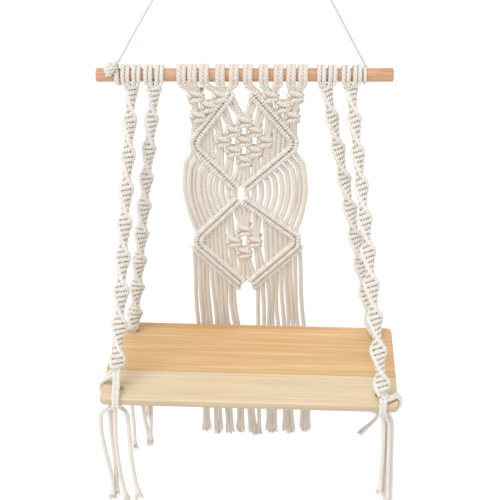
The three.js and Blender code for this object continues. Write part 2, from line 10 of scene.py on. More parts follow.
import bpy
import numpy as np
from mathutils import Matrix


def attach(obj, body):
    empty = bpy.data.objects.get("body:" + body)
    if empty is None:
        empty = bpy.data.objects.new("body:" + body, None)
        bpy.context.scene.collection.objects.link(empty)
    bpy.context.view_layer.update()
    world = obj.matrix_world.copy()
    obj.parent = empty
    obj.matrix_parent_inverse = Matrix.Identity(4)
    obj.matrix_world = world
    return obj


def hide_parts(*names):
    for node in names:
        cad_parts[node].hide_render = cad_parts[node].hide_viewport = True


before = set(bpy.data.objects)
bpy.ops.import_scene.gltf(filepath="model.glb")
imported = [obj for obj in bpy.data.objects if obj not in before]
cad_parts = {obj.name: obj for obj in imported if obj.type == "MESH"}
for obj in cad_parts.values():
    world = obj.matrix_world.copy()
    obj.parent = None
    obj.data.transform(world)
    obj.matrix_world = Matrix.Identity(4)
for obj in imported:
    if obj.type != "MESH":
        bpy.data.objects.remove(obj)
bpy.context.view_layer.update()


# Where the shelf is seen from: a little above the rod, looking down onto the board, with a long lens.
camera_data = bpy.data.cameras.new("camera")
camera_data.lens = 89.5
camera_data.sensor_width = 36
camera_data.clip_end = 60
camera = bpy.data.objects.new("camera", camera_data)
camera.location = (0.007, -1.554, 0.292)
camera.rotation_euler = (math.radians(61), 0, 0)
bpy.context.collection.objects.link(camera)
bpy.context.scene.camera = camera

# A plain pale floor below the hanging shelf, and soft daylight from the upper left and from all around.
bpy.ops.mesh.primitive_plane_add(size=60, location=(0, 0, -2.6))
floor = bpy.context.object
floor.name = "floor"
floor_paint = bpy.data.materials.new("floor_paint")
floor_paint.use_nodes = True
floor_shader = floor_paint.node_tree.nodes["Principled BSDF"]
floor_shader.inputs["Base Color"].default_value = (0.96, 0.96, 0.955, 1)
floor_shader.inputs["Roughness"].default_value = 0.9
floor.data.materials.append(floor_paint)

world = bpy.data.worlds.new("pale_room")
world.use_nodes = True
world.node_tree.nodes["Background"].inputs["Color"].default_value = (1, 1, 1, 1)
world.node_tree.nodes["Background"].inputs["Strength"].default_value = 0.74
bpy.context.scene.world = world

daylight = bpy.data.lights.new("daylight", "SUN")
daylight.energy = 1.75
daylight.angle = math.radians(40)
daylight_lamp = bpy.data.objects.new("daylight", daylight)
daylight_lamp.rotation_euler = (math.radians(30), 0, math.radians(-36))
bpy.context.collection.objects.link(daylight_lamp)
bpy.context.scene.view_settings.view_transform = "Standard"


# Rod: a straight dowel of peeled wood, a little uneven, with sanded ends. It carries every cord, and both its
# ends stay bare.
ROD = {
    "half_length": 197, "z": -304, "radius": 9, "bevel": 1.2, "rounded": 0.3, "first_ring": 4, "rings": 90,
    "sides": 48,
}
# Waves of its surface: how deep each is, its pace along the rod and around it, and where it starts
ROD_WAVES = ((0.12, 0.035, 2, 0), (0.08, 0.11, 3, 1))
peeled_wood = bpy.data.materials.new("peeled_wood")
peeled_wood.use_nodes = True


def wood_nodes(material, turn, middle):
    """The material's nodes, its shader, and the object's coordinates turned to lie along the wood."""
    nodes = material.node_tree.nodes
    place = nodes.new("ShaderNodeTexCoord")
    mapping = nodes.new("ShaderNodeMapping")
    mapping.vector_type = "TEXTURE"
    mapping.inputs["Location"].default_value = middle
    mapping.inputs["Rotation"].default_value = (0, 0, turn)
    material.node_tree.links.new(place.outputs["Object"], mapping.inputs["Vector"])
    return nodes, material.node_tree.links, nodes["Principled BSDF"], mapping.outputs["Vector"]


def stretched(nodes, links, vector, scale):
    """Coordinates scaled by an amount for each direction."""
    scaled = nodes.new("ShaderNodeVectorMath")
    scaled.operation = "MULTIPLY"
    scaled.inputs[1].default_value = scale
    links.new(vector, scaled.inputs[0])
    return scaled.outputs["Vector"]


def grain(nodes, links, vector, scale, detail, distortion=0.0):
    """Noise that is finer in the directions of greater scale, so it runs along the others."""
    noise = nodes.new("ShaderNodeTexNoise")
    noise.inputs["Scale"].default_value = 1
    noise.inputs["Detail"].default_value = detail
    noise.inputs["Distortion"].default_value = distortion
    links.new(stretched(nodes, links, vector, scale), noise.inputs["Vector"])
    return noise.outputs["Fac"]


def tones(nodes, links, factor, stops):
    """A ramp of colours, given as places from 0 to 1 with the colour at each."""
    ramp = nodes.new("ShaderNodeValToRGB")
    for element, (at, colour) in zip(ramp.color_ramp.elements, (stops[0], stops[-1])):
        element.position = at
        element.color = (*colour, 1)
    for at, colour in stops[1:-1]:
        ramp.color_ramp.elements.new(at).color = (*colour, 1)
    links.new(factor, ramp.inputs["Fac"])
    return ramp.outputs["Color"]


def roughened(nodes, links, shader, height, strength, depth):
    """Small bumps in the finish, where a pattern is high or low."""
    bump = nodes.new("ShaderNodeBump")
    bump.inputs["Strength"].default_value = strength
    bump.inputs["Distance"].default_value = depth
    links.new(height, bump.inputs["Height"])
    links.new(bump.outputs["Normal"], shader.inputs["Normal"])


nodes, links, shader, along = wood_nodes(peeled_wood, 0, (0, 0, 0))
fibres = grain(nodes, links, along, (22, 420, 420), 6, 0.4)
links.new(tones(nodes, links, fibres, [
    (0.28, (0.42, 0.21, 0.11)), (0.46, (0.58, 0.32, 0.18)), (0.62, (0.66, 0.385, 0.225)),
    (0.8, (0.72, 0.46, 0.29)),
]), shader.inputs["Base Color"])
shader.inputs["Roughness"].default_value = 0.5
roughened(nodes, links, shader, fibres, 0.25, 0.0004)


def rod_mesh():
    half, radius, bevel, sides = ROD["half_length"], ROD["radius"], ROD["bevel"], ROD["sides"]
    inner, body = bevel * ROD["rounded"], half - ROD["first_ring"]
    profile = [(-half, radius - bevel), (-half + inner, radius - inner), (-half + bevel, radius)]
    profile += [(x, radius) for x in np.linspace(-body, body, ROD["rings"])]
    profile += [(-x, r) for x, r in reversed(profile[:3])]
    points = []
    for x, r in profile:
        for j in range(sides):
            angle = j / sides * math.tau
            uneven = sum(depth * math.sin(x * pace + angle * times + start)
                         for depth, pace, times, start in ROD_WAVES)
            reach = r + (uneven if abs(x) < half - bevel else 0)
            points.append((x, reach * math.cos(angle), reach * math.sin(angle) + ROD["z"]))
    faces = [
        (i * sides + j, i * sides + (j + 1) % sides, (i + 1) * sides + (j + 1) % sides, (i + 1) * sides + j)
        for i in range(len(profile) - 1) for j in range(sides)
    ]
    faces.append(tuple(range(sides))[::-1])
    faces.append(tuple((len(profile) - 1) * sides + j for j in range(sides)))
    mesh = bpy.data.meshes.new("rod_wood")
    mesh.from_pydata([tuple(c / 1000 for c in p) for p in points], [], [f[::-1] for f in faces])
    mesh.shade_smooth()
    mesh.set_sharp_from_angle(angle=math.radians(50))
    return mesh


rod = bpy.data.objects.new("rod_wood", rod_mesh())
bpy.context.collection.objects.link(rod)
rod.data.materials.append(peeled_wood)
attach(rod, "root")
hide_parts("rod")


# Board: two pine staves glued edge to edge and sanded, with rounded corners and a hole drilled near each one.
# It hangs a little turned, and its front stave is paler than the rear one.
BOARD = {
    "length": 400, "depth": 193, "thickness": 10.5, "corner": 8, "corner_steps": 8, "bevel": 1.3,
    "x": 9, "y": -108.5, "top": -688, "turn": math.radians(-2.6), "joint": -28, "glue": 0.5, "painted_shade_below": 1.1,
}
HOLE = {"from_end": 25, "from_edge": 25, "radius": 5.3, "sides": 32}
pine = bpy.data.materials.new("pine")
pine.use_nodes = True


def on_board(x, y, z):
    """A point given along the board's length and depth and over its top."""
    c, s = math.cos(BOARD["turn"]), math.sin(BOARD["turn"])
    return np.array([x * c - y * s + BOARD["x"], x * s + y * c + BOARD["y"], z + BOARD["top"]])


nodes, links, shader, along = wood_nodes(
    pine, BOARD["turn"], (BOARD["x"] / 1000, BOARD["y"] / 1000, BOARD["top"] / 1000))
split = nodes.new("ShaderNodeSeparateXYZ")
links.new(along, split.inputs["Vector"])
front_stave = nodes.new("ShaderNodeMath")
front_stave.operation = "LESS_THAN"
front_stave.inputs[1].default_value = BOARD["joint"] / 1000
links.new(split.outputs["Y"], front_stave.inputs[0])
# The front stave comes from another log, so its grain is read a metre further along.
shifted = nodes.new("ShaderNodeCombineXYZ")
links.new(front_stave.outputs["Value"], shifted.inputs["X"])
other_log = nodes.new("ShaderNodeVectorMath")
links.new(along, other_log.inputs[0])
links.new(shifted.outputs["Vector"], other_log.inputs[1])
rings = grain(nodes, links, other_log.outputs["Vector"], (1.6, 62, 40), 3, 0.5)
streaks = grain(nodes, links, other_log.outputs["Vector"], (9, 700, 300), 5, 0.3)
rear_colour = tones(nodes, links, rings, [
    (0.30, (0.60, 0.365, 0.165)), (0.42, (0.73, 0.48, 0.235)), (0.52, (0.66, 0.41, 0.19)),
    (0.60, (0.78, 0.54, 0.29)), (0.72, (0.69, 0.44, 0.21)),
])
front_colour = tones(nodes, links, rings, [
    (0.30, (0.67, 0.50, 0.32)), (0.43, (0.75, 0.61, 0.42)), (0.53, (0.70, 0.545, 0.355)),
    (0.70, (0.77, 0.64, 0.46)),
])
stave = nodes.new("ShaderNodeMix")
stave.data_type = "RGBA"
links.new(front_stave.outputs["Value"], stave.inputs["Factor"])
links.new(rear_colour, stave.inputs["A"])
links.new(front_colour, stave.inputs["B"])
streaked = nodes.new("ShaderNodeMix")
streaked.data_type = "RGBA"
streaked.blend_type = "MULTIPLY"
streaked.inputs["Factor"].default_value = 0.4
links.new(stave.outputs["Result"], streaked.inputs["A"])
links.new(tones(nodes, links, streaks, [(0.3, (0.66, 0.58, 0.50)), (0.55, (1, 1, 1))]), streaked.inputs["B"])
seam_distance = nodes.new("ShaderNodeMath")
seam_distance.operation = "SUBTRACT"
seam_distance.inputs[1].default_value = BOARD["joint"] / 1000
links.new(split.outputs["Y"], seam_distance.inputs[0])
seam_width = nodes.new("ShaderNodeMath")
seam_width.operation = "COMPARE"
seam_width.inputs[1].default_value = 0
seam_width.inputs[2].default_value = BOARD["glue"] / 1000
links.new(seam_distance.outputs["Value"], seam_width.inputs[0])
glue_line = nodes.new("ShaderNodeMix")
glue_line.data_type = "RGBA"
glue_line.inputs["B"].default_value = (0.42, 0.25, 0.11, 1)
links.new(seam_width.outputs["Value"], glue_line.inputs["Factor"])
links.new(streaked.outputs["Result"], glue_line.inputs["A"])
# Painted shade: everything more than a little below the top, the edges and the underside, is darker than the
# top.
below_top = nodes.new("ShaderNodeMath")
below_top.operation = "LESS_THAN"
below_top.inputs[1].default_value = -BOARD["painted_shade_below"] / 1000
links.new(split.outputs["Z"], below_top.inputs[0])
painted_edge_shade = nodes.new("ShaderNodeMix")
painted_edge_shade.data_type = "RGBA"
painted_edge_shade.blend_type = "MULTIPLY"
painted_edge_shade.inputs["B"].default_value = (0.80, 0.79, 0.78, 1)
links.new(below_top.outputs["Value"], painted_edge_shade.inputs["Factor"])
links.new(glue_line.outputs["Result"], painted_edge_shade.inputs["A"])
links.new(painted_edge_shade.outputs["Result"], shader.inputs["Base Color"])
shader.inputs["Roughness"].default_value = 0.55
roughened(nodes, links, shader, streaks, 0.18, 0.0004)


def board_mesh():
    outline = []
    for cx, cy, start in ((1, -1, -90), (1, 1, 0), (-1, 1, 90), (-1, -1, 180)):
        for i in range(BOARD["corner_steps"] + 1):
            angle = math.radians(start + i * 90 / BOARD["corner_steps"])
            outline.append((
                cx * (BOARD["length"] / 2 - BOARD["corner"]) + BOARD["corner"] * math.cos(angle),
                cy * (BOARD["depth"] / 2 - BOARD["corner"]) + BOARD["corner"] * math.sin(angle)))
    rims = [outline]
    for side in (-1, 1):
        for edge in (-1, 1):
            rims.append([(
                side * (BOARD["length"] / 2 - HOLE["from_end"]) + HOLE["radius"] * math.cos(a),
                edge * (BOARD["depth"] / 2 - HOLE["from_edge"]) + HOLE["radius"] * math.sin(a),
            ) for a in np.linspace(0, math.tau, HOLE["sides"], endpoint=False)])
    curve = bpy.data.curves.new("board_outline", "CURVE")
    curve.dimensions = "2D"
    curve.fill_mode = "BOTH"
    curve.extrude = (BOARD["thickness"] / 2 - BOARD["bevel"]) / 1000
    curve.bevel_depth = BOARD["bevel"] / 1000
    curve.bevel_resolution = 3
    curve.offset = -BOARD["bevel"] / 1000
    for rim in rims:
        spline = curve.splines.new("POLY")
        spline.points.add(len(rim) - 1)
        spline.points.foreach_set("co", [c for x, y in rim for c in (x / 1000, y / 1000, 0, 1)])
        spline.use_cyclic_u = True
    holder = bpy.data.objects.new("board_outline", curve)
    bpy.context.collection.objects.link(holder)
    mesh = bpy.data.meshes.new_from_object(holder.evaluated_get(bpy.context.evaluated_depsgraph_get()))
    bpy.data.objects.remove(holder)
    for vertex in mesh.vertices:
        x, y, z = (c * 1000 for c in vertex.co)
        vertex.co = on_board(x, y, z - BOARD["thickness"] / 2) / 1000
    mesh.shade_smooth()
    mesh.set_sharp_from_angle(angle=math.radians(40))
    mesh.name = "board_pine"
    return mesh


board = bpy.data.objects.new("board_pine", board_mesh())
bpy.context.collection.objects.link(board)
board.data.materials.clear()
board.data.materials.append(pine)
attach(board, "root")
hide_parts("board")


# Hanger: a thinner cotton cord tied around both ends of the rod and bent over a nail. All the shelf's cord is
# plain twisted cotton of three plies, so its finish and its twist are set out here.
cotton = bpy.data.materials.new("cotton")
cotton.use_nodes = True
nodes, links = cotton.node_tree.nodes, cotton.node_tree.links
shader = nodes["Principled BSDF"]
yarn = nodes.new("ShaderNodeAttribute")
yarn.attribute_name = "yarn"
# Fine hairs run along each yarn, and the cord is whiter in some places than in others, partly at random and
# partly by a whiteness set for each piece, which on some pieces is painted light or painted shade.
hairs = grain(nodes, links, yarn.outputs["Vector"], (260, 2600, 2600), 3, 0.6)
room = nodes.new("ShaderNodeTexCoord")
patches = grain(nodes, links, room.outputs["Object"], (38, 38, 38), 2)
mottled = nodes.new("ShaderNodeMix")
mottled.data_type = "RGBA"
whiteness = nodes.new("ShaderNodeAttribute")
whiteness.attribute_name = "whiteness"
bleach_and_light_share = nodes.new("ShaderNodeMath")
bleach_and_light_share.operation = "MULTIPLY_ADD"
bleach_and_light_share.inputs[1].default_value = 0.4
bleach_and_light_share.use_clamp = True
links.new(patches, bleach_and_light_share.inputs[0])
links.new(whiteness.outputs["Fac"], bleach_and_light_share.inputs[2])
links.new(bleach_and_light_share.outputs["Value"], mottled.inputs["Factor"])
raw = tones(nodes, links, hairs, [(0.3, (0.68, 0.585, 0.495)), (0.6, (0.865, 0.80, 0.715))])
bleached = tones(nodes, links, hairs, [(0.3, (0.72, 0.66, 0.59)), (0.6, (0.91, 0.88, 0.825))])
links.new(raw, mottled.inputs["A"])
links.new(bleached, mottled.inputs["B"])
# Painted shade: the colour is darker in the grooves between the plies, where little light reaches.
groove = nodes.new("ShaderNodeAttribute")
groove.attribute_name = "groove"
shaded = nodes.new("ShaderNodeMix")
shaded.data_type = "RGBA"
shaded.blend_type = "MULTIPLY"
shaded.inputs["Factor"].default_value = 0.78
links.new(mottled.outputs["Result"], shaded.inputs["A"])
painted_groove_shade = tones(nodes, links, groove.outputs["Fac"], [(0.6, (0.50, 0.46, 0.43)), (0.92, (1, 1, 1))])
links.new(painted_groove_shade, shaded.inputs["B"])
links.new(shaded.outputs["Result"], shader.inputs["Base Color"])
shader.inputs["Roughness"].default_value = 0.92
shader.inputs["Specular IOR Level"].default_value = 0.2
shader.inputs["Sheen Weight"].default_value = 0.25
shader.inputs["Sheen Roughness"].default_value = 0.5
roughened(nodes, links, shader, hairs, 0.5, 0.0005)


def twisted_cord_tree():
    """Geometry Nodes that lay plies around each route and give them thickness."""
    tree = bpy.data.node_groups.new("twisted_cord", "GeometryNodeTree")
    face = tree.interface
    face.new_socket("Geometry", in_out="INPUT", socket_type="NodeSocketGeometry")
    for label, kind in (
        ("Step", "NodeSocketFloat"), ("Plies", "NodeSocketInt"), ("Ply radius", "NodeSocketFloat"),
        ("Ply offset", "NodeSocketFloat"), ("Lay", "NodeSocketFloat"), ("Sides", "NodeSocketInt"),
        ("Grooved", "NodeSocketFloat"), ("Material", "NodeSocketMaterial"),
    ):
        face.new_socket(label, in_out="INPUT", socket_type=kind)
    face.new_socket("Geometry", in_out="OUTPUT", socket_type="NodeSocketGeometry")
    new = tree.nodes.new
    join = tree.links.new
    given = new("NodeGroupInput").outputs
    made = new("NodeGroupOutput")

    resample = new("GeometryNodeResampleCurve")
    resample.mode = "LENGTH"
    join(given["Geometry"], resample.inputs["Curve"])
    join(given["Step"], resample.inputs["Length"])
    plies = new("GeometryNodeDuplicateElements")
    plies.domain = "SPLINE"
    join(resample.outputs["Curve"], plies.inputs["Geometry"])
    join(given["Plies"], plies.inputs["Amount"])

    def math_node(operation, *values):
        node = new("ShaderNodeMath")
        node.operation = operation
        for i, value in enumerate(values):
            if isinstance(value, (int, float)):
                node.inputs[i].default_value = value
            else:
                join(value, node.inputs[i])
        return node.outputs["Value"]

    def vector_node(operation, first, second, scale=None):
        node = new("ShaderNodeVectorMath")
        node.operation = operation
        join(first, node.inputs[0])
        if second is not None:
            join(second, node.inputs[1])
        if scale is not None:
            join(scale, node.inputs["Scale"])
        return node.outputs["Vector"]

    def remembered(geometry, value, kind="FLOAT"):
        capture = new("GeometryNodeCaptureAttribute")
        capture.capture_items.new(kind, "kept")
        capture.domain = "POINT"
        join(geometry, capture.inputs["Geometry"])
        join(value, capture.inputs[1])
        return capture.outputs["Geometry"], capture.outputs[1]

    def stored(geometry, name, value, kind):
        store = new("GeometryNodeStoreNamedAttribute")
        store.data_type = kind
        store.domain = "POINT"
        store.inputs["Name"].default_value = name
        join(geometry, store.inputs["Geometry"])
        join(value, store.inputs["Value"])
        return store.outputs["Geometry"]

    place = new("GeometryNodeInputPosition").outputs["Position"]
    straight, axis = remembered(plies.outputs["Geometry"], place, "VECTOR")
    run = new("GeometryNodeSplineParameter").outputs["Length"]
    turns = math_node("DIVIDE", run, given["Lay"])
    share = math_node("DIVIDE", plies.outputs["Duplicate Index"], given["Plies"])
    angle = math_node("MULTIPLY", math_node("SUBTRACT", share, turns), math.tau)
    reach = math_node("MULTIPLY", given["Ply offset"], new("GeometryNodeInputRadius").outputs["Radius"])
    normal = new("GeometryNodeInputNormal").outputs["Normal"]
    across = vector_node("CROSS_PRODUCT", new("GeometryNodeInputTangent").outputs["Tangent"], normal)
    out_one = vector_node("SCALE", normal, None, math_node("MULTIPLY", math_node("COSINE", angle), reach))
    out_two = vector_node("SCALE", across, None, math_node("MULTIPLY", math_node("SINE", angle), reach))
    lay = new("GeometryNodeSetPosition")
    join(straight, lay.inputs["Geometry"])
    join(vector_node("ADD", out_one, out_two), lay.inputs["Offset"])

    ring = new("GeometryNodeCurvePrimitiveCircle")
    ring.mode = "RADIUS"
    join(given["Sides"], ring.inputs["Resolution"])
    join(given["Ply radius"], ring.inputs["Radius"])

    route, run_kept = remembered(lay.outputs["Geometry"], run)
    section, round_kept = remembered(
        ring.outputs["Curve"], new("GeometryNodeSplineParameter").outputs["Factor"])
    tube = new("GeometryNodeCurveToMesh")
    join(route, tube.inputs["Curve"])
    join(section, tube.inputs["Profile Curve"])
    tube.inputs["Fill Caps"].default_value = True
    around = math_node("MULTIPLY", round_kept, math.tau)
    fibre = new("ShaderNodeCombineXYZ")
    join(run_kept, fibre.inputs["X"])
    join(math_node("MULTIPLY", math_node("COSINE", around), given["Ply radius"]), fibre.inputs["Y"])
    join(math_node("MULTIPLY", math_node("SINE", around), given["Ply radius"]), fibre.inputs["Z"])
    from_axis = new("ShaderNodeVectorMath")
    from_axis.operation = "DISTANCE"
    join(place, from_axis.inputs[0])
    join(axis, from_axis.inputs[1])
    # The groove share falls towards the cord's axis; the cotton material turns it into painted shade between
    # the plies.
    crest = math_node("ADD", given["Ply offset"], given["Ply radius"])
    below_crest = math_node("SUBTRACT", math_node("DIVIDE", from_axis.outputs["Value"], crest), 1)
    groove = math_node("MULTIPLY_ADD", below_crest, given["Grooved"], 1)
    along_yarn = stored(tube.outputs["Mesh"], "yarn", fibre.outputs["Vector"], "FLOAT_VECTOR")
    smooth = new("GeometryNodeSetShadeSmooth")
    join(stored(along_yarn, "groove", groove, "FLOAT"), smooth.inputs["Geometry"])
    realize = new("GeometryNodeRealizeInstances")
    join(smooth.outputs["Geometry"], realize.inputs["Geometry"])
    finish = new("GeometryNodeSetMaterial")
    join(realize.outputs["Geometry"], finish.inputs["Geometry"])
    join(given["Material"], finish.inputs["Material"])
    join(finish.outputs["Geometry"], made.inputs["Geometry"])
    return tree


TWISTED_CORD = twisted_cord_tree()


def run_along(points):
    """How far along its route each point lies."""
    return np.concatenate([[0], np.cumsum(np.linalg.norm(np.diff(points, axis=0), axis=1))])


def drawn(points, softness=1.3, step=1.0):
    """An even, softly rounded route through points, in millimetres, with its ends kept."""
    points = np.array(points, float)
    reach = run_along(points)
    count = max(3, int(reach[-1] / step) + 1)
    evenly = np.linspace(0, reach[-1], count)
    even = np.column_stack([np.interp(evenly, reach, points[:, i]) for i in range(3)])
    half = max(1, min(count - 1, int(softness / step * 3)))
    weights = np.exp(-0.5 * (np.arange(-half, half + 1) * step / softness) ** 2)
    weights /= weights.sum()
    padded = np.vstack([2 * even[0] - even[half:0:-1], even, 2 * even[-1] - even[-2:-half - 2:-1]])
    return np.column_stack([np.convolve(padded[:, i], weights, "valid") for i in range(3)])


# A ply's share of the thickness where three of them touch, how much fuller it is than that, and how far the
# plies part at an opened end
PLY = {"share": 1 / (1 + 2 / math.sqrt(3)), "fullness": 1.12, "opening": 0.9}


def cord_piece(
    name, routes, thickness, lay=13.0, step=2.0, sides=6, plies=3, flare=None, slack=None, bleach_and_painted_light=0.0,
    grooved=1.0,
):
    """One mesh of twisted cord along each route, with its sizes in millimetres.

    Lay is the length of one turn of the plies, and step the distance between the mesh's rings. Flare opens
    the plies over that length at a route's end, and slack gives how much wider the cord is along a route.
    The whiteness argument is how bleached it is, set higher or lower on some pieces as painted light or
    painted shade, and grooved is how much painted shade darkens it between its plies.
    """
    curve = bpy.data.curves.new(name, "CURVE")
    curve.dimensions = "3D"
    curve.twist_mode = "MINIMUM"
    for route in routes:
        spline = curve.splines.new("POLY")
        spline.points.add(len(route) - 1)
        spline.points.foreach_set("co", np.column_stack([route / 1000, np.ones(len(route))]).ravel())
        opening = slack(route) if slack else np.ones(len(route))
        if flare:
            left = len(route) - 1 - np.arange(len(route))
            opening += np.clip(1 - left / flare, 0, 1) * PLY["opening"]
        spline.points.foreach_set("radius", opening)
    holder = bpy.data.objects.new(name + "_routes", curve)
    bpy.context.collection.objects.link(holder)
    maker = holder.modifiers.new("twisted_cord", "NODES")
    maker.node_group = TWISTED_CORD
    share = PLY["share"] if plies == 3 else 1
    settings = {
        "Step": step / 1000, "Plies": plies, "Ply radius": thickness / 2000 * share * PLY["fullness"],
        "Ply offset": thickness / 2000 * (1 - share), "Lay": lay / 1000, "Sides": sides, "Grooved": grooved,
        "Material": cotton,
    }
    for socket in TWISTED_CORD.interface.items_tree:
        if socket.in_out == "INPUT" and socket.name in settings:
            maker[socket.identifier] = settings[socket.name]
    mesh = bpy.data.meshes.new_from_object(holder.evaluated_get(bpy.context.evaluated_depsgraph_get()))
    bpy.data.objects.remove(holder)
    mesh.name = name
    mesh.attributes.new("whiteness", "FLOAT", "POINT").data.foreach_set("value", [bleach_and_painted_light] * len(mesh.vertices))
    piece = bpy.data.objects.new(name, mesh)
    bpy.context.collection.objects.link(piece)
    return piece


def around_rod(x_from, x_to, angle_from, angle_to, cord_radius, proud=0.3, step=12):
    """Part of a turn around the rod, in degrees from its front over its top, with a point at every step."""
    reach = ROD["radius"] + cord_radius + proud
    count = max(2, int(abs(angle_to - angle_from) / step) + 1)
    angles = np.radians(np.linspace(angle_from, angle_to, count))
    return np.column_stack([
        np.linspace(x_from, x_to, count), -reach * np.cos(angles), reach * np.sin(angles) + ROD["z"]])


# Where the hanger leaves the rod at either side, the degrees it is wound around it, how far its turns spread
# there, half the width of its bend over the nail, and its droop at the bend's ends as a share of that
HANGER = {
    "cord": 3.6, "lay": 9, "step": 1.6, "left": -171.3, "right": 160.5, "wound": 720, "spread_left": 2.4,
    "spread_right": 2.6, "bend": 4, "sag": 1.4,
}
# The fat double knot on the front of the rod: its place from the hanger's left end, its lean, half its
# length, and the turns and reach of its coil
HANGER_KNOT = {
    "cord": 5.6, "lay": 12, "place": (-5.2, -10, 13), "lean": (0.62, 0.1, 0.78), "half": 6.8, "turns": 3.3,
    "reach": 4.6, "points": 60,
}


def hanger_route():
    """Around the rod's left end, up to the nail, down again and around the right end."""
    radius = HANGER["cord"] / 2
    left, right, bend = HANGER["left"], HANGER["right"], HANGER["bend"]
    wound_left = around_rod(left + HANGER["spread_left"], left, 90 - HANGER["wound"], 90, radius)
    wound_right = around_rod(right, right - HANGER["spread_right"], 90, 90 + HANGER["wound"], radius)
    sag = bend * HANGER["sag"]
    over_nail = [(x, 0, z) for x, z in (
        (-bend, radius - sag), (-bend / 3, radius), (bend / 3, radius), (bend, radius - sag))]
    return drawn(np.vstack([wound_left, over_nail, wound_right]), softness=0.8)


def hanger_knot_routes():
    """The knot's coil, the cord inside it whose end is tucked in, and one turn around the rod beside it."""
    left, z = HANGER["left"], ROD["z"]
    centre = np.array([left, 0, z]) + HANGER_KNOT["place"]
    lean = np.array(HANGER_KNOT["lean"])
    side = np.cross(lean, (0, -1, 0))
    side /= np.linalg.norm(side)
    front = np.cross(side, lean)
    coil = []
    for share in np.linspace(0, 1, HANGER_KNOT["points"]):
        angle = math.tau * HANGER_KNOT["turns"] * share
        rise = lean * HANGER_KNOT["half"] * (2 * share - 1)
        coil.append(centre + rise + (side * math.cos(angle) + front * math.sin(angle)) * HANGER_KNOT["reach"])
    core = [
        centre - lean * 12 + np.array([2, 0, -1]), centre - lean * 4, centre + lean * 4,
        centre + lean * 9 + np.array([3, 4, 0]), np.array([left + 3, -1, z + 12.5]),
    ]
    wrap = around_rod(left + 6.2, left + 0.8, -200, 160, 2.5)
    return [drawn(coil, softness=0.8), drawn(core, softness=1.5), drawn(wrap, softness=0.8)]


hanger = cord_piece(
    "hanger_rope", [hanger_route()], HANGER["cord"], lay=HANGER["lay"], step=HANGER["step"], bleach_and_painted_light=0.6)
hanger_knot = cord_piece(
    "hanger_knot", hanger_knot_routes(), HANGER_KNOT["cord"], lay=HANGER_KNOT["lay"], step=HANGER["step"],
    bleach_and_painted_light=0.8)
for piece in (hanger, hanger_knot):
    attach(piece, "root")
    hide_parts("hanger_cord")


# Straps: four cords each, hung from the rod by two lark's heads. Two cords run straight down inside, and the
# other two are tied around them in half knots that all start from one side, so the strap turns into a spiral.
# A back strap passes through a hole of the board. A front one parts, over the front edge and over the end.
CORD = 5.6
# Where each strap hangs on the rod, half the way between its two heads, where its spiral is first broad, and
# the length of half a turn. A front strap parts at a height above the board (split). One pair crosses the
# front edge, so far from the end (pass), and the other the end, so far behind the front edge (over_end).
STRAPS = {
    "front_left": {
        "rod_x": -150.5, "shift": 7.3, "side": -1, "foot": "front", "bulge": 44, "pitch": 45.6,
        "split": 30, "over_end": 37, "pass": 22.5,
    },
    "back_left": {"rod_x": -120.2, "shift": 7.4, "side": -1, "foot": "back", "bulge": 45, "pitch": 42.4},
    "back_right": {"rod_x": 108.9, "shift": 7.4, "side": 1, "foot": "back", "bulge": 42, "pitch": 44.5},
    "front_right": {
        "rod_x": 141.4, "shift": 7.6, "side": 1, "foot": "front", "bulge": 44, "pitch": 44,
        "split": 8, "over_end": 19, "pass": 21,
    },
}
# A lark's head: its cord as it looks when pulled tight, how far each leg lies from its middle, and the
# degrees around the rod of its bight and of its legs
HEAD = {"cord": 6.1, "lay": 13, "step": 1.8, "leg": 3.1, "bight": (262, 232), "legs": (220, -38)}
# Half knots: the height of one, its reach from the core at the strap's top and foot, how much that grows
# where the spiral is broad (rhythm) and how the turning slows there (linger), half its thickness, and how
# much lower it passes behind the core (late). They start at first, above the strap's top, and end so far
# before its foot (last). The two core cords lie so far from the middle (core).
HALF_KNOT = {
    "height": 6.4, "wide_top": 6.4, "wide_foot": 8.4, "rhythm": 0.14, "linger": 0.13, "thick": 3.0,
    "late": 0.22, "first": -8.5, "last": 4, "core": 2.1, "cord": 5.9, "lay": 12,
}
# One half knot's cord: how far it lies across the core, through it, and down it in heights of a half knot
HALF_KNOT_WAY = (
    (-1, 0.25, -0.62), (-1, -0.35, -0.42), (-0.72, -0.98, -0.26), (-0.25, -1.12, -0.09), (0.3, -1.1, 0.09),
    (0.78, -0.62, 0.24), (0.97, -0.05, 0.38),
)
# The loops along each edge: how far outside the knots they lie, and how far below the first knot they start
EDGE = {"cord": 5.4, "lay": 9, "out": 0.3, "first": 3, "step": 2}
# Where a strap starts in front of and below the rod's axis, and where it ends: over a hole, or behind the
# front edge by this share of the height at which it parts. A cord is wound around it so far over a hole.
STRAP_TOP = {"front": 8, "drop": 19}
STRAP_FOOT = {"over_hole": 3, "lean": 0.75, "wrap": 5.5}
# The knot of a front strap under the board, and half the way between the two cords of a pair
FRONT_KNOT = {"from_end": 18.5, "from_edge": 11}
PAIR = 2.3


def head_leg(x, middle):
    """Half of a lark's head: from the bight under the rod up its back, over it and down its front."""
    bight = around_rod(middle, x, *HEAD["bight"], CORD / 2)
    leg = around_rod(x, x, *HEAD["legs"], CORD / 2)
    return np.vstack([bight, leg])


def knot_place(strap):
    """Where the knot lies under the board, along its length and depth."""
    held = HOLE if strap["foot"] == "back" else FRONT_KNOT
    rearward = 1 if strap["foot"] == "back" else -1
    return (strap["side"] * (BOARD["length"] / 2 - held["from_end"]),
            rearward * (BOARD["depth"] / 2 - held["from_edge"]))


